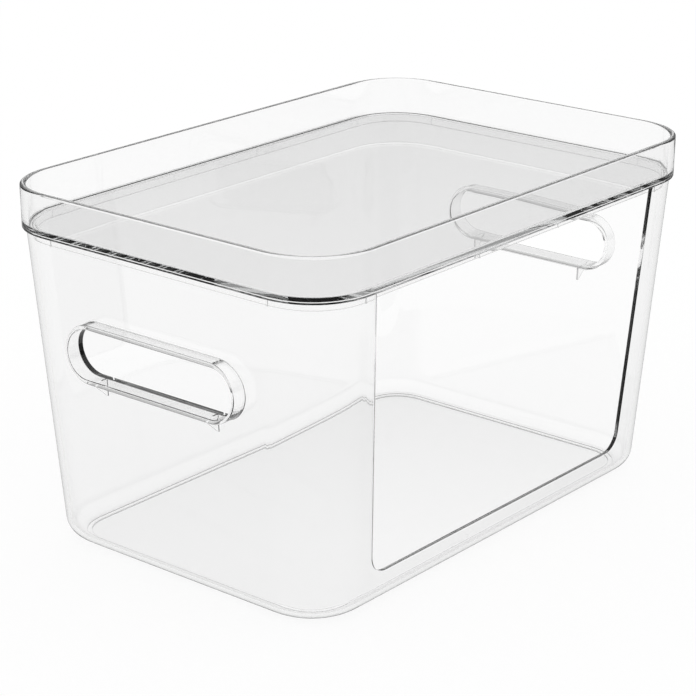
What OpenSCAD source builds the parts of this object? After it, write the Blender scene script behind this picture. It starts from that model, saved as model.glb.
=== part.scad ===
// Clear storage bin with an open front and a lift-off tray lid.
// The bin's long side runs along X, the open front faces -Y and Z is up.
// The origin is the middle of the base, on the surface that the bin stands on.

/* [Bin] */
// Length of the bin over its top edge
bin_length = 281; // [200:1:400]
// Width of the bin over its top edge
bin_width = 190; // [140:1:300]
// Height of the bin up to the edge that carries the lid, foot ring included
bin_height = 152.5; // [120:0.5:220]
// Thickness of the walls
wall = 2; // [1.5:0.1:3]
// Thickness of the floor
floor_thickness = 2; // [1.5:0.1:3]
// Lean of the walls, in degrees from upright
wall_lean = 3.7; // [1:0.1:5]
// How far an upright corner reaches along each side, at the top edge
corner_size = 31; // [20:0.5:34]
// How far an upright corner reaches along each side, at the foot
foot_corner_size = 29.5; // [20:0.5:34]
// Fullness of the upright corners: 2 is a circular arc, and more is squarer
corner_power = 2.2; // [2:0.1:3]
// Radius of the outer edge where the walls turn into the underside
foot_round = 8.5; // [4:0.5:12]
// Radius of the inner corner where the walls meet the floor
floor_round = 6.5; // [4:0.5:12]
// Height of the ring under the floor that the bin stands on
ring_height = 1; // [0.3:0.1:1.5]
// Width of that ring
ring_width = 2.1; // [1:0.1:4]
// Distance from the rounded outer edge in to the ring
ring_setback = 0.8; // [0.2:0.1:4]

/* [Open front] */
// Width of the wall that is left between a side of the bin and the opening
front_margin = 36; // [35:0.5:50]
// Height of the sill under the opening
sill_height = 17.5; // [15:0.5:40]
// Radius of the opening's lower corners
opening_corner = 9.5; // [4:0.5:20]
// Radius of the opening's top edges, where the wall turns outwards under the lid
opening_lead_in = 2.5; // [1:0.5:6]

/* [Handles] */
// Height of the middle of a handle hole above the underside
handle_height = 105; // [85:1:115]
// Length of a handle hole, end to end
handle_length = 98; // [80:0.5:110]
// Height of a handle hole
handle_gap = 23.5; // [20:0.5:32]
// How far the collar round a handle hole stands out from the wall
collar_depth = 7.5; // [3:0.5:10]
// Thickness of the collar above and below the hole
collar_wall = 2.2; // [1.2:0.1:3]
// Thickness of the collar at the two ends of the hole
collar_end_wall = 1.4; // [1.2:0.1:3]
// Distance between the two gussets under a collar
gusset_spacing = 67; // [30:1:70]
// Thickness of a gusset
gusset_thickness = 1; // [0.8:0.1:2]
// Height of a gusset below the collar
gusset_height = 6.5; // [3:0.5:10]
// How far a gusset stops short of the collar's edge
gusset_setback = 1; // [0.5:0.1:3]
// How far a gusset's foot stands out from the wall
gusset_toe = 0.6; // [0.3:0.1:2]

/* [Lid] */
// Height of the lid from the bin's top edge to the lid's rim
lid_height = 20.5; // [14:0.5:30]
// Thickness of the lid's panel
panel_thickness = 2.5; // [2:0.1:4]
// Thickness of the lid's upright flange
flange_thickness = 2.8; // [2:0.1:4]
// How far the lid's underside stands out past the bin's wall
lid_overhang = 1.8; // [0.5:0.1:4]
// How much further the flange stands out at the rim
flange_flare = 0.2; // [0:0.1:2]
// Radius of the lid's outer lower edge
lid_edge_round = 0.4; // [0.2:0.1:2]
// Radius of the inner corner between the panel and the flange
tray_round = 0.6; // [0.3:0.1:4]
// Depth of the skirt that hangs inside the bin's mouth
skirt_height = 4; // [2:0.1:6]
// Thickness of the skirt
skirt_thickness = 1.5; // [1:0.1:2.5]
// Gap between the skirt and the wall at the bin's top edge
skirt_clearance = 0.9; // [0.7:0.1:1.5]
// Width of the small ribs on the skirt that centre the lid
rib_width = 0.8; // [0.6:0.1:1.5]
// How far those ribs stand out from the skirt
rib_proud = 0.3; // [0.2:0.1:0.3]
// Distance between the two ribs in the middle of each long side
middle_rib_spacing = 60; // [20:1:100]

/* [Hidden] */
corner_steps = 10;
round_steps = 5;
hole_steps = 64;
overcut = 1;

lean = tan(wall_lean);
floor_top = ring_height + floor_thickness;
ring_inset = foot_round + ring_setback;
collar_length = handle_length + 2 * collar_end_wall;
collar_height = handle_gap + 2 * collar_wall;
collar_bottom = handle_height - collar_height / 2;
skirt_inset = wall + skirt_clearance;
skirt_corner = corner_size - skirt_inset;

// Points of a quarter turn from bottom to side, as [distance in, height] for a radius
function quarter(radius) = [
    for (i = [0 : round_steps]) let (turn = 90 * i / round_steps)
        [radius * (1 - sin(turn)), radius * (1 - cos(turn))]];

// A sine or cosine raised so that a corner's curve gets its fullness
function full(value) = pow(value, 2 / corner_power);

// Outline of a rectangle with half sizes a and b and full corners of size c, at height z
function outline(a, b, c, z) = [
    for (corner = [0 : 3])
        let (sx = (corner == 0 || corner == 3) ? 1 : -1, sy = corner < 2 ? 1 : -1)
        for (i = [0 : corner_steps]) let (turn = 90 * i / corner_steps)
            let (u = full(cos(turn)), v = full(sin(turn)), odd = corner % 2 == 1)
            [sx * (a - c + c * (odd ? v : u)), sy * (b - c + c * (odd ? u : v)), z]];

// How far the bin's wall has come in from its top edge at height z
function wall_inset(z) = (bin_height - z) * lean;

// Size of the bin's upright corners at height z
function wall_corner(z) =
    corner_size + (foot_corner_size - corner_size) * (bin_height - z) / bin_height;

// Outline of the bin at height z, drawn in from the outer face by a distance
function bin_outline(z, inset) = let (total = wall_inset(z) + inset)
    outline(bin_length / 2 - total, bin_width / 2 - total, wall_corner(z) - inset, z);

// Outline of the lid at height z above its underside, drawn in from the outer face
function lid_outline(z, inset) =
    let (reach = lid_overhang + flange_flare * z / lid_height - inset)
    outline(bin_length / 2 + reach, bin_width / 2 + reach, corner_size + reach, z);

// An outline without its height
function seen_from_above(points) = [for (p = points) [p[0], p[1]]];

// Solid through a stack of outlines that have the same number of points
module loft(outlines) {
    count = len(outlines[0]);
    last = len(outlines) - 1;
    sides = [for (k = [0 : last - 1], i = [0 : count - 1]) let (next = (i + 1) % count)
        [k * count + i, (k + 1) * count + i, (k + 1) * count + next, k * count + next]];
    bottom = [for (i = [0 : count - 1]) i];
    top = [for (i = [count - 1 : -1 : 0]) last * count + i];
    polyhedron([for (one = outlines) each one], concat([bottom], sides, [top]));
}

// Slot with round ends, lying in the XY plane
module slot(length, height) {
    square([length - height, height], center = true);
    for (side = [-1, 1])
        translate([side * (length - height) / 2, 0])
            circle(d = height, $fn = hole_steps);
}

// Everything that the bin's outer face encloses
module bin_outside() {
    loft(concat(
        [for (p = quarter(foot_round)) bin_outline(ring_height + p[1], p[0])],
        [bin_outline(bin_height, 0)]));
}

// The space inside the bin, open at the top
module bin_inside() {
    loft(concat(
        [for (p = quarter(floor_round)) bin_outline(floor_top + p[1], wall + p[0])],
        [bin_outline(bin_height + overcut, wall)]));
}

// The ring under the floor that the bin stands on, sunk halfway into the floor
module foot_ring() {
    linear_extrude(height = ring_height + floor_thickness / 2)
        difference() {
            polygon(seen_from_above(bin_outline(0, ring_inset)));
            polygon(seen_from_above(bin_outline(0, ring_inset + ring_width)));
        }
}

// Half width of the open front at height z
function opening_half(z) = bin_length / 2 - wall_inset(z) - front_margin;

// Right half of the open front's outline, from the sill up past the top edge
function opening_side() = let (
        low = sill_height + opening_corner,
        low_x = opening_half(low - opening_corner * sin(wall_lean)) - opening_corner * cos(wall_lean),
        high = bin_height - opening_lead_in,
        high_x = opening_half(high + opening_lead_in * sin(wall_lean))
            + opening_lead_in * cos(wall_lean))
    concat(
        [for (i = [0 : corner_steps]) let (turn = -90 + (90 - wall_lean) * i / corner_steps)
            [low_x + opening_corner * cos(turn), low + opening_corner * sin(turn)]],
        [for (i = [0 : corner_steps]) let (turn = 180 - wall_lean - (90 - wall_lean) * i / corner_steps)
            [high_x + opening_lead_in * cos(turn), high + opening_lead_in * sin(turn)]],
        [[high_x, bin_height + overcut]]);

// The cut that opens the front wall from the sill to the top edge
module front_opening() {
    side = opening_side();
    mirrored = [for (i = [len(side) - 1 : -1 : 0]) [-side[i][0], side[i][1]]];
    rotate([90, 0, 0])
        linear_extrude(height = bin_width / 2 + overcut)
            polygon(concat(side, mirrored));
}

// Collar and gussets of the handle in the +X wall, from well inside the bin outwards
module handle_collar() {
    wall_x = bin_length / 2 - wall_inset(handle_height);
    start_x = wall_x - 2 * wall;
    end_x = wall_x + collar_depth;
    translate([start_x, 0, handle_height])
        rotate([90, 0, 90])
            linear_extrude(height = end_x - start_x)
                slot(collar_length, collar_height);
    gusset_top = collar_bottom + collar_wall / 2;
    gusset_foot = collar_bottom - gusset_height;
    foot_x = bin_length / 2 - wall_inset(gusset_foot) + gusset_toe;
    for (side = [-1, 1])
        translate([0, side * gusset_spacing / 2 + gusset_thickness / 2, 0])
            rotate([90, 0, 0])
                linear_extrude(height = gusset_thickness)
                    polygon([[start_x, gusset_top], [end_x - gusset_setback, gusset_top],
                        [end_x - gusset_setback, collar_bottom],
                        [foot_x, gusset_foot], [start_x, gusset_foot]]);
}

// The hole for the fingers through the +X wall and its collar
module handle_hole() {
    wall_x = bin_length / 2 - wall_inset(handle_height);
    translate([wall_x - 3 * wall, 0, handle_height])
        rotate([90, 0, 90])
            linear_extrude(height = 3 * wall + collar_depth + overcut)
                slot(handle_length, handle_gap);
}

// Both handles are alike, so one side is mirrored to the other
module both_sides() {
    children();
    mirror([1, 0, 0]) children();
}

module bin_body() {
    color([0.93, 0.95, 0.96, 0.45])
    difference() {
        union() {
            bin_outside();
            foot_ring();
            both_sides() handle_collar();
        }
        bin_inside();
        front_opening();
        both_sides() handle_hole();
    }
}

// The tray: a panel with an upright flange round it, standing on z = 0
module tray() {
    difference() {
        loft(concat(
            [for (p = quarter(lid_edge_round)) lid_outline(p[1], p[0])],
            [lid_outline(lid_height, 0)]));
        loft(concat(
            [for (p = quarter(tray_round))
                lid_outline(panel_thickness + p[1], flange_thickness + p[0])],
            [lid_outline(lid_height + overcut, flange_thickness)]));
    }
}

// Straight-sided block in the skirt's outline, drawn in by a distance
module skirt_block(inset, bottom, top) {
    a = bin_length / 2 - skirt_inset - inset;
    b = bin_width / 2 - skirt_inset - inset;
    loft([outline(a, b, skirt_corner - inset, bottom), outline(a, b, skirt_corner - inset, top)]);
}

// One centring rib on the outside of the skirt, standing out along +Y from the origin
module rib() {
    root = panel_thickness / 2;
    reach = rib_proud + skirt_thickness / 2;
    translate([-rib_width / 2, rib_proud - reach, -skirt_height])
        cube([rib_width, reach, root + skirt_height]);
}

// The skirt under the panel, with ribs where its corners start and on its long sides
module skirt() {
    root = panel_thickness / 2;
    a = bin_length / 2 - skirt_inset;
    b = bin_width / 2 - skirt_inset;
    difference() {
        skirt_block(0, -skirt_height, root);
        skirt_block(skirt_thickness, -skirt_height - overcut, root + overcut);
    }
    corner_x = a - skirt_corner;
    corner_y = b - skirt_corner;
    middle_x = middle_rib_spacing / 2;
    for (turn = [0, 180])
        rotate([0, 0, turn]) {
            for (x = [-corner_x, -middle_x, middle_x, corner_x])
                translate([x, b, 0]) rib();
            for (y = [-corner_y, corner_y])
                translate([a, y, 0]) rotate([0, 0, -90]) rib();
        }
}

module lid() {
    color([0.88, 0.9, 0.91, 0.55])
    translate([0, 0, bin_height])
    union() {
        tray();
        skirt();
    }
}

bin_body();
lid();
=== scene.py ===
import math

import bmesh
import bpy
from mathutils import Matrix, Vector


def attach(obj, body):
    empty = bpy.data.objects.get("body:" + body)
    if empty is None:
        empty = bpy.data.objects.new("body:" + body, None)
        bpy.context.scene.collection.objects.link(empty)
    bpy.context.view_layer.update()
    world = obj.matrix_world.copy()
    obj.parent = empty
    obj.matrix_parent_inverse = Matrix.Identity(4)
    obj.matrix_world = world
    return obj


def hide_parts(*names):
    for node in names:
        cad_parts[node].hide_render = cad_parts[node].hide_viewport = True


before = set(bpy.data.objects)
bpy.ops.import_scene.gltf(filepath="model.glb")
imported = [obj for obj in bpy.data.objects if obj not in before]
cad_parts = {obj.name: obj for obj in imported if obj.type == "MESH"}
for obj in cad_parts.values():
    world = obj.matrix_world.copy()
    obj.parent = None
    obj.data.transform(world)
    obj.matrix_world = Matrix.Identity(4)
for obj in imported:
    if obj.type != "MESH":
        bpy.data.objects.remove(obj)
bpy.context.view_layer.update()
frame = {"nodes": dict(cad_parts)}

mm = 0.001  # every size below is in millimetres, and Blender works in metres
print("frame loaded:", ", ".join(frame["nodes"]))


# Curves and meshes that both pieces use

# fullness of the upright corners (2 is a circular arc), and the steps round each
upright = {"power": 2.2, "steps": 26}
# edges are crisp from this angle in degrees, and how much large faces rule the shading
shading = {"crispFrom": 38, "weight": 100}


def fullness(value):
    return max(value, 0.0) ** (2 / upright["power"])


def outline(halfLength, halfWidth, corner, z):
    # a rectangle with full corners, point by point from the +X side round by the back
    points = []
    for quadrant in range(4):
        signX = 1 if quadrant in (0, 3) else -1
        signY = 1 if quadrant < 2 else -1
        for i in range(upright["steps"] + 1):
            turn = math.pi / 2 * i / upright["steps"]
            u, v = fullness(math.cos(turn)), fullness(math.sin(turn))
            if quadrant % 2:
                u, v = v, u
            points.append((signX * (halfLength - corner + corner * u),
                           signY * (halfWidth - corner + corner * v), z))
    return points


def quarter(radius, steps):
    # a quarter turn as pairs that go from (radius, 0) to (0, radius)
    turns = [math.pi / 2 * i / steps for i in range(steps + 1)]
    return [(radius * (1 - math.sin(t)), radius * (1 - math.cos(t))) for t in turns]


def addRing(bm, points):
    return [bm.verts.new(Vector(point) * mm) for point in points]


def span(bm, ringA, ringB, leaveOut=(), closed=True):
    count = len(ringA)
    for i in range(count if closed else count - 1):
        if i not in leaveOut:
            j = (i + 1) % count
            bm.faces.new((ringA[i], ringA[j], ringB[j], ringB[i]))


def fillPanel(bm, rims):
    # a flat panel between closed rims: the first goes round it, the others are holes
    edges = []
    for rim in rims:
        for i, vert in enumerate(rim):
            pair = (vert, rim[(i + 1) % len(rim)])
            edges.append(bm.edges.get(pair) or bm.edges.new(pair))
    bmesh.ops.triangle_fill(bm, use_beauty=True, use_dissolve=False, edges=edges)


def makePiece(bm, name):
    bmesh.ops.recalc_face_normals(bm, faces=bm.faces)
    mesh = bpy.data.meshes.new(name)
    bm.to_mesh(mesh)
    bm.free()
    piece = bpy.data.objects.new(name, mesh)
    bpy.context.scene.collection.objects.link(piece)
    return piece


def joinOn(piece, extra):
    # moulds the small solids of one object onto a piece, as one skin
    join = piece.modifiers.new("moulded on", "BOOLEAN")
    join.operation = "UNION"
    join.solver = "EXACT"
    join.object = extra
    bpy.context.view_layer.update()
    grown = bpy.data.meshes.new_from_object(
        piece.evaluated_get(bpy.context.evaluated_depsgraph_get()))
    grown.name = piece.name
    piece.modifiers.clear()
    piece.data = grown
    bpy.data.objects.remove(extra)


def polish(piece):
    # smooth faces whose shading follows the large ones, and crisp edges
    piece.data.shade_smooth()
    piece.data.set_sharp_from_angle(angle=math.radians(shading["crispFrom"]))
    weights = piece.modifiers.new("face weighting", "WEIGHTED_NORMAL")
    weights.mode = "FACE_AREA"
    weights.weight = shading["weight"]
    weights.keep_sharp = True


# The bin

binShape = {
    "length": 281.0, "width": 190.0, "height": 152.5,
    "wall": 2.0, "floor": 2.0, "lean": 3.7,
    "corner": 31.0, "footCorner": 29.5,
    "footRound": 8.5, "floorRound": 6.5,
    "ringHeight": 1.0, "ringSetback": 0.8, "ringWidth": 2.1, "ringRound": 0.04,
    "edgeRound": 0.5,
    "roundSteps": 14, "edgeSteps": 4, "wallRows": 6,
}
opening = {"margin": 36.0, "sill": 17.5, "corner": 9.5, "leadIn": 2.5, "steps": 16}
handle = {
    "height": 105.0, "length": 98.0, "gap": 23.5, "depth": 7.5,
    "endWall": 1.4, "flatWall": 2.2,
    "endRound": 0.65, "rootRound": 0.5, "innerRound": 0.15, "steps": 40,
    "gussetSpacing": 67.0, "gussetThickness": 1.0, "gussetHeight": 6.5,
    "gussetSetback": 1.0, "gussetToe": 0.6,
}


def leanIn(z):
    return (binShape["height"] - z) * math.tan(math.radians(binShape["lean"]))


def binRing(z, inset):
    share = (binShape["height"] - z) / binShape["height"]
    corner = binShape["corner"] + (binShape["footCorner"] - binShape["corner"]) * share
    total = leanIn(z) + inset
    return outline(binShape["length"] / 2 - total, binShape["width"] / 2 - total, corner - inset, z)


def edgeProfile():
    # the rounded top edge as pairs of depth below the edge and inset from the outer face
    r, steps = binShape["edgeRound"], binShape["edgeSteps"]
    outer = [(depth, inset) for depth, inset in quarter(r, steps)]
    inner = [(depth, binShape["wall"] - inset) for depth, inset in reversed(quarter(r, steps))]
    return outer + inner


def footProfile():
    # pairs of inset and height, from inside the foot ring out and up to the wall
    low, small, steps = binShape["ringHeight"], binShape["ringRound"], binShape["edgeSteps"]
    outer = binShape["footRound"] + binShape["ringSetback"]
    inner = outer + binShape["ringWidth"]
    pairs = [(inner + a, low - b) for a, b in quarter(small, steps)]
    pairs += [(inner - b, a) for a, b in quarter(small, steps)]
    pairs += [(outer + a, b) for a, b in quarter(small, steps)]
    pairs += [(outer - b, low - a) for a, b in quarter(small, steps)]
    pairs += [(a, low + b) for a, b in quarter(binShape["footRound"], binShape["roundSteps"])]
    return pairs


def openingEdge():
    # the open front's edge in the wall's plane, with the way into the wall at each point
    lean, steps = math.radians(binShape["lean"]), opening["steps"]
    r, lead = opening["corner"], opening["leadIn"]

    def half(z):
        return binShape["length"] / 2 - leanIn(z) - opening["margin"]

    low, high = opening["sill"] + r, binShape["height"] - lead
    lowX = half(low - r * math.sin(lean)) - r * math.cos(lean)
    highX = half(high + lead * math.sin(lean)) + lead * math.cos(lean)
    right = []
    for i in range(steps + 1):
        turn = math.pi / 2 + (math.pi / 2 - lean) * i / steps
        way = Vector((-math.cos(turn), -math.sin(turn)))
        right.append((Vector((highX, high)) - way * lead, way))
    for i in range(steps + 1):
        turn = -lean - (math.pi / 2 - lean) * i / steps
        way = Vector((math.cos(turn), math.sin(turn)))
        right.append((Vector((lowX, low)) + way * r, way))
    left = [(Vector((-p.x, p.y)), Vector((-w.x, w.y))) for p, w in reversed(right)]
    return right + left


def stadium(spread, thick):
    # the hand hole's outline, grown by a distance and by a share of the collar's thickness
    radius = handle["gap"] / 2 + spread + thick * handle["flatWall"]
    reach = handle["length"] / 2 + spread + thick * handle["endWall"]
    points = []
    for side, start in ((1, -math.pi / 2), (-1, math.pi / 2)):
        middle = side * (reach - radius)
        for i in range(handle["steps"] + 1):
            turn = start + math.pi * i / handle["steps"]
            points.append((middle + radius * math.cos(turn),
                           handle["height"] + radius * math.sin(turn)))
    return points


def handleRings(bm, side):
    # from the outer face, up the collar, over its end and back through the hole
    wallX = binShape["length"] / 2
    endX = wallX - leanIn(handle["height"]) + handle["depth"]
    wall, steps = binShape["wall"], binShape["edgeSteps"]
    rings = []

    def ring(spread, thick, out=None, back=0):
        # placed by its distance out of the leaning outer face, or back from the collar's end
        points = []
        for y, z in stadium(spread, thick):
            x = endX - back if out is None else wallX - leanIn(z) + out
            points.append((side * x, y, z))
        rings.append(addRing(bm, points))

    for a, b in quarter(handle["rootRound"], steps):
        ring(a, 1, out=b)
    for a, b in quarter(handle["endRound"], steps):
        ring(-b, 1, back=a)
    for a, b in reversed(quarter(handle["endRound"], steps)):
        ring(b, 0, back=a)
    for a, b in quarter(handle["innerRound"], steps):
        ring(b, 0, out=a - wall)
    for ringA, ringB in zip(rings, rings[1:]):
        span(bm, ringA, ringB)
    return rings[0], rings[-1]


def buildBinShell():
    bm = bmesh.new()
    stepsRound, top = binShape["roundSteps"], binShape["height"]
    underside = binShape["ringHeight"]
    floorTop = underside + binShape["floor"]
    # a ring's flat sides start at the last point of the corner before them
    leftSide, front, rightSide = [(upright["steps"] + 1) * corner - 1 for corner in (2, 3, 4)]
    profile = edgeProfile()

    def rows(low, high, inset):
        return [addRing(bm, binRing(low + (high - low) * i / binShape["wallRows"], inset))
                for i in range(1, binShape["wallRows"])]

    outerFoot = [addRing(bm, binRing(z, inset)) for inset, z in footProfile()]
    outerRows = rows(underside + binShape["footRound"], top - binShape["edgeRound"], 0)
    rim = [addRing(bm, binRing(top - depth, inset)) for depth, inset in profile]
    innerRows = rows(floorTop + binShape["floorRound"], top - binShape["edgeRound"],
                     binShape["wall"])
    innerFoot = [addRing(bm, binRing(floorTop + b, binShape["wall"] + a))
                 for a, b in quarter(binShape["floorRound"], stepsRound)]

    flats = (leftSide, front, rightSide)  # these are filled further down, round their openings
    for stack in (outerFoot, innerFoot):
        for ringA, ringB in zip(stack, stack[1:]):
            span(bm, ringA, ringB)
    outerStack = [outerFoot[-1]] + outerRows + [rim[0]]
    innerStack = [innerFoot[-1]] + innerRows + [rim[-1]]
    for stack in (outerStack, innerStack):
        for ringA, ringB in zip(stack, stack[1:]):
            span(bm, ringA, ringB, leaveOut=flats)
    for ringA, ringB in zip(rim, rim[1:]):
        span(bm, ringA, ringB, leaveOut=(front,))
    bm.faces.new(outerFoot[0])
    bm.faces.new(innerFoot[0])

    # the open front's edge is one sweep with the rim
    edge = openingEdge()
    sweep = []
    for ring, (depth, inset) in zip(rim, profile):
        points = []
        for place, way in edge:
            x, z = place + way * depth
            points.append((x, -(binShape["width"] / 2 - leanIn(z) - inset), z))
        sweep.append([ring[front + 1]] + addRing(bm, points) + [ring[front]])
    for lineA, lineB in zip(sweep, sweep[1:]):
        span(bm, lineA, lineB, closed=False)

    holes = {side: handleRings(bm, side) for side in (-1, 1)}
    for stack, line, face in ((outerStack, sweep[0], 0), (innerStack, sweep[-1], 1)):
        climb = [ring[front] for ring in stack]
        descend = [ring[front + 1] for ring in reversed(stack)]
        fillPanel(bm, [climb + list(reversed(line[1:-1])) + descend])
        for side, start in ((-1, leftSide), (1, rightSide)):
            after = (start + 1) % len(stack[0])
            around = [ring[start] for ring in stack] + [ring[after] for ring in reversed(stack)]
            fillPanel(bm, [around, holes[side][face]])
    return makePiece(bm, "clear_bin")


def buildGussets():
    # two small plates under each collar, sunk into the collar and the wall
    bm = bmesh.new()
    under = handle["height"] - handle["gap"] / 2 - handle["flatWall"]
    wallX = binShape["length"] / 2
    endX = wallX - leanIn(handle["height"]) + handle["depth"]
    sunk = binShape["wall"] / 2
    foot = under - handle["gussetHeight"]
    edgeX = endX - handle["gussetSetback"]
    shape = [(wallX - leanIn(under + sunk) - sunk, under + sunk), (edgeX, under + sunk),
             (edgeX, under), (wallX - leanIn(foot) + handle["gussetToe"], foot),
             (wallX - leanIn(foot) - sunk, foot)]
    for side in (-1, 1):
        for place in (-1, 1):
            faces = []
            for face in (-1, 1):
                y = place * handle["gussetSpacing"] / 2 + face * handle["gussetThickness"] / 2
                faces.append(addRing(bm, [(side * x, y, z) for x, z in shape]))
                bm.faces.new(faces[-1])
            span(bm, faces[0], faces[1])
    return makePiece(bm, "gussets")


binPiece = buildBinShell()
joinOn(binPiece, buildGussets())
polish(binPiece)
print("bin built:", len(binPiece.data.polygons), "faces")


# The lid

lidShape = {
    "height": 20.5, "panel": 2.5, "flange": 2.8, "overhang": 1.8, "flare": 0.2,
    "edgeRound": 0.4, "trayRound": 0.6, "rimRound": 1.2,
    "skirtHeight": 4.0, "skirtThickness": 1.5, "skirtGap": 0.9,
    "skirtRound": 0.3, "skirtRoot": 0.3,
    "ribWidth": 0.8, "ribProud": 0.3, "middleRibSpacing": 60.0,
    "steps": 8, "edgeSteps": 4,
}


def lidRing(reach, z):
    # reach is how far the ring stands out past the bin's top edge
    return outline(binShape["length"] / 2 + reach, binShape["width"] / 2 + reach,
                   binShape["corner"] + reach, binShape["height"] + z)


def lidProfile():
    # pairs of reach and height, from the middle of the underside round to the tray's floor
    outer = -(binShape["wall"] + lidShape["skirtGap"])
    inner = outer - lidShape["skirtThickness"]
    bottom = -lidShape["skirtHeight"]
    small, root, steps = lidShape["skirtRound"], lidShape["skirtRoot"], lidShape["edgeSteps"]

    def face(z):
        return lidShape["overhang"] + lidShape["flare"] * z / lidShape["height"]

    pairs = [(inner - a, -b) for a, b in quarter(root, steps)]
    pairs += [(inner + b, bottom + a) for a, b in quarter(small, steps)]
    pairs += [(outer - b, bottom + a) for a, b in reversed(quarter(small, steps))]
    pairs += [(outer + a, -b) for a, b in reversed(quarter(root, steps))]
    pairs += [(face(b) - a, b) for a, b in quarter(lidShape["edgeRound"], lidShape["steps"])]
    top, rim = lidShape["height"], lidShape["rimRound"]
    pairs += [(face(top - a) - b, top - a) for a, b in quarter(rim, steps)]
    pairs += [(face(top - a) - lidShape["flange"] + b, top - a)
              for a, b in reversed(quarter(rim, steps))]
    tray = [(face(lidShape["panel"] + b) - lidShape["flange"] - a, lidShape["panel"] + b)
            for a, b in quarter(lidShape["trayRound"], lidShape["steps"])]
    return pairs + list(reversed(tray))


def buildLidShell():
    bm = bmesh.new()
    rings = [addRing(bm, lidRing(reach, z)) for reach, z in lidProfile()]
    for ringA, ringB in zip(rings, rings[1:]):
        span(bm, ringA, ringB)
    bm.faces.new(rings[0])
    bm.faces.new(rings[-1])
    return makePiece(bm, "clear_lid")


def buildRibs():
    # short upright ribs on the skirt, where its corners start and on its long sides
    bm = bmesh.new()
    inset = binShape["wall"] + lidShape["skirtGap"]
    halfX, halfY = binShape["length"] / 2 - inset, binShape["width"] / 2 - inset
    corner = binShape["corner"] - inset
    middle = lidShape["middleRibSpacing"] / 2
    sunk = lidShape["skirtThickness"] / 2
    low = binShape["height"] - lidShape["skirtHeight"]
    high = binShape["height"] + lidShape["panel"] / 2
    spots = []
    for side in (-1, 1):
        spots += [(x, side * halfY, 0, side) for x in
                  (corner - halfX, -middle, middle, halfX - corner)]
        spots += [(side * halfX, y, side, 0) for y in (corner - halfY, halfY - corner)]
    for x, y, outX, outY in spots:
        bottom, top = [], []
        for across, out in ((-1, -sunk), (1, -sunk), (1, lidShape["ribProud"]),
                            (-1, lidShape["ribProud"])):
            half = across * lidShape["ribWidth"] / 2
            spot = (x + out * outX - half * outY, y + out * outY + half * outX)
            bottom.append((*spot, low))
            top.append((*spot, high))
        faces = [addRing(bm, bottom), addRing(bm, top)]
        for face in faces:
            bm.faces.new(face)
        span(bm, *faces)
    return makePiece(bm, "ribs")


lidPiece = buildLidShell()
joinOn(lidPiece, buildRibs())
polish(lidPiece)
print("lid built:", len(lidPiece.data.polygons), "faces")


# Finishes

clearMoulding = {
    "colour": (0.987, 0.987, 0.987), "ior": 1.49,
    "tint": (0.91, 0.912, 0.912), "density": 20.0,  # what light loses on its way through
    # faint handling haze, in patches of a few centimetres
    "haze": {"scale": 35, "detail": 5, "from": 0.4, "to": 0.75, "roughest": 0.004},
    # the slow unevenness of a moulded face
    "wave": {"scale": 22, "detail": 1, "strength": 0.004, "height": 1.0},
}


def noise(nodes, links, place, settings):
    texture = nodes.new("ShaderNodeTexNoise")
    texture.inputs["Scale"].default_value = settings["scale"]
    texture.inputs["Detail"].default_value = settings["detail"]
    links.new(place.outputs["Object"], texture.inputs["Vector"])
    return texture.outputs["Fac"]


def clearPlastic(name, settings):
    material = bpy.data.materials.new(name)
    material.use_nodes = True
    nodes, links = material.node_tree.nodes, material.node_tree.links
    nodes.clear()
    out = nodes.new("ShaderNodeOutputMaterial")
    plastic = nodes.new("ShaderNodeBsdfPrincipled")
    plastic.inputs["Base Color"].default_value = (*settings["colour"], 1)
    plastic.inputs["Transmission Weight"].default_value = 1
    plastic.inputs["IOR"].default_value = settings["ior"]
    links.new(plastic.outputs["BSDF"], out.inputs["Surface"])
    place = nodes.new("ShaderNodeTexCoord")

    haze = settings["haze"]
    sheen = nodes.new("ShaderNodeMapRange")
    sheen.inputs["From Min"].default_value = haze["from"]
    sheen.inputs["From Max"].default_value = haze["to"]
    sheen.inputs["To Max"].default_value = haze["roughest"]
    links.new(noise(nodes, links, place, haze), sheen.inputs["Value"])
    links.new(sheen.outputs["Result"], plastic.inputs["Roughness"])

    wave = settings["wave"]
    bump = nodes.new("ShaderNodeBump")
    bump.inputs["Strength"].default_value = wave["strength"]
    bump.inputs["Distance"].default_value = wave["height"] * mm
    links.new(noise(nodes, links, place, wave), bump.inputs["Height"])
    links.new(bump.outputs["Normal"], plastic.inputs["Normal"])

    body = nodes.new("ShaderNodeVolumeAbsorption")
    body.inputs["Color"].default_value = (*settings["tint"], 1)
    body.inputs["Density"].default_value = settings["density"]
    links.new(body.outputs["Volume"], out.inputs["Volume"])
    return material


for piece, finish, node, body in ((binPiece, "clear_moulded_bin", "bin_body", "bin"),
                                  (lidPiece, "clear_moulded_lid", "lid", "lid")):
    piece.data.materials.clear()
    piece.data.materials.append(clearPlastic(finish, clearMoulding))
    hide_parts(node)
    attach(piece, body)
print("finishes made")


# Table top, light and camera

studio = {
    "floorRadius": 12, "floorSides": 96,  # metres, and points round the rim
    "floorColour": (0.09, 0.09, 0.09),
    "floorSeen": 0.91,  # added for the camera and for what shows through the plastic
    "floorMirrored": 0.27,  # added for what the plastic mirrors
    # the world as the plastic shows it, from the horizon (0) up to the ceiling (1)
    "levels": ((0.0, 0.2), (0.2, 0.2), (0.24, 0.5), (0.33, 0.52), (0.42, 0.9), (0.75, 0.9),
               (1.0, 0.75)),
    "bounces": 28,  # light runs far along inside a clear sheet before it gets out
}
photoView = {
    # where the photograph was taken from: placed by the silhouettes, with no shift
    "azimuth": -50.418, "elevation": 19.80, "roll": 0.12,  # degrees
    "place": (-806.18, -659.28, 452.00), "lens": 118.94, "sensor": 36,  # millimetres
    "nearest": 0.05, "farthest": 50,  # metres
}


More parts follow.
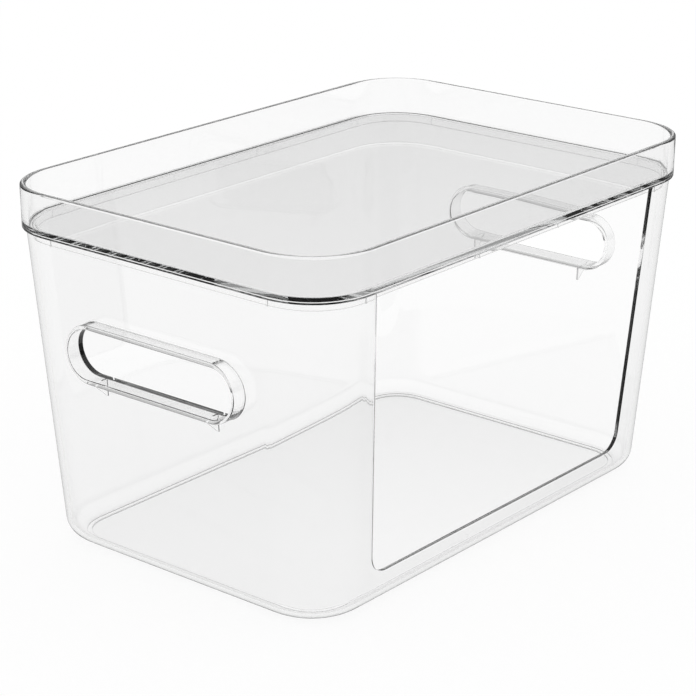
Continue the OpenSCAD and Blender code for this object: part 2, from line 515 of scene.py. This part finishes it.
def mathNode(tree, operation, first, second):
    # each of the two is a socket or a number
    node = tree.nodes.new("ShaderNodeMath")
    node.operation = operation
    for entry, value in zip(node.inputs, (first, second)):
        if isinstance(value, float):
            entry.default_value = value
        else:
            tree.links.new(value, entry)
    return node.outputs["Value"]


def makeFloor():
    bm = bmesh.new()
    bmesh.ops.create_circle(bm, cap_ends=True, segments=studio["floorSides"],
                            radius=studio["floorRadius"])
    floor = makePiece(bm, "table_top")
    material = bpy.data.materials.new("pale_table")
    material.use_nodes = True
    tree = material.node_tree
    tree.nodes.clear()
    out = tree.nodes.new("ShaderNodeOutputMaterial")
    matt = tree.nodes.new("ShaderNodeBsdfDiffuse")
    matt.inputs["Color"].default_value = (*studio["floorColour"], 1)
    rays = tree.nodes.new("ShaderNodeLightPath").outputs
    direct = mathNode(tree, "MAXIMUM", rays["Is Camera Ray"], rays["Is Transmission Ray"])
    seen = mathNode(tree, "MULTIPLY", direct, studio["floorSeen"])
    mirrored = mathNode(tree, "MULTIPLY", rays["Is Glossy Ray"], studio["floorMirrored"])
    glow = tree.nodes.new("ShaderNodeEmission")
    # what passes through the plastic counts as both, so the brighter of the two is taken
    tree.links.new(mathNode(tree, "MAXIMUM", seen, mirrored), glow.inputs["Strength"])
    both = tree.nodes.new("ShaderNodeAddShader")
    tree.links.new(matt.outputs["BSDF"], both.inputs[0])
    tree.links.new(glow.outputs["Emission"], both.inputs[1])
    tree.links.new(both.outputs["Shader"], out.inputs["Surface"])
    floor.data.materials.append(material)


def makeWorld():
    world = bpy.data.worlds.new("soft_studio")
    bpy.context.scene.world = world
    world.use_nodes = True
    tree = world.node_tree
    tree.nodes.clear()
    out = tree.nodes.new("ShaderNodeOutputWorld")
    light = tree.nodes.new("ShaderNodeBackground")
    light.inputs["Color"].default_value = (1, 1, 1, 1)
    tree.links.new(light.outputs["Background"], out.inputs["Surface"])
    way = tree.nodes.new("ShaderNodeTexCoord")
    parts = tree.nodes.new("ShaderNodeSeparateXYZ")
    tree.links.new(way.outputs["Generated"], parts.inputs["Vector"])
    up = tree.nodes.new("ShaderNodeValToRGB")
    stops = up.color_ramp.elements
    first, *middle, last = studio["levels"]
    for stop, (height, level) in zip(stops, (first, last)):
        stop.position = height
        stop.color = (level, level, level, 1)
    for height, level in middle:
        stops.new(height).color = (level, level, level, 1)
    tree.links.new(parts.outputs["Z"], up.inputs["Fac"])
    rays = tree.nodes.new("ShaderNodeLightPath").outputs
    shown = mathNode(tree, "MAXIMUM", rays["Is Glossy Ray"], rays["Is Transmission Ray"])
    pick = tree.nodes.new("ShaderNodeMix")
    pick.data_type = "FLOAT"
    pick.inputs["A"].default_value = 1
    tree.links.new(shown, pick.inputs["Factor"])
    tree.links.new(up.outputs["Color"], pick.inputs["B"])
    tree.links.new(pick.outputs["Result"], light.inputs["Strength"])


def makeCamera():
    data = bpy.data.cameras.new("photo_view")
    data.sensor_width = photoView["sensor"]
    data.lens = photoView["lens"]
    data.clip_start = photoView["nearest"]
    data.clip_end = photoView["farthest"]
    camera = bpy.data.objects.new("photo_view", data)
    bpy.context.scene.collection.objects.link(camera)
    azimuth, elevation, roll = [math.radians(photoView[angle])
                                for angle in ("azimuth", "elevation", "roll")]
    back = Vector((math.sin(azimuth) * math.cos(elevation),
                   -math.cos(azimuth) * math.cos(elevation), math.sin(elevation)))
    right = Vector((math.cos(azimuth), math.sin(azimuth), 0))
    up = back.cross(right)
    across = math.cos(roll) * right + math.sin(roll) * up
    upward = -math.sin(roll) * right + math.cos(roll) * up
    turned = Matrix((across, upward, back)).transposed().to_4x4()
    camera.matrix_world = Matrix.Translation(Vector(photoView["place"]) * mm) @ turned
    bpy.context.scene.camera = camera


makeFloor()
makeWorld()
makeCamera()
bpy.context.scene.view_settings.view_transform = "Standard"
cycles = bpy.context.scene.cycles
cycles.max_bounces = cycles.transmission_bounces = cycles.glossy_bounces = studio["bounces"]
print("table, light and camera in place")
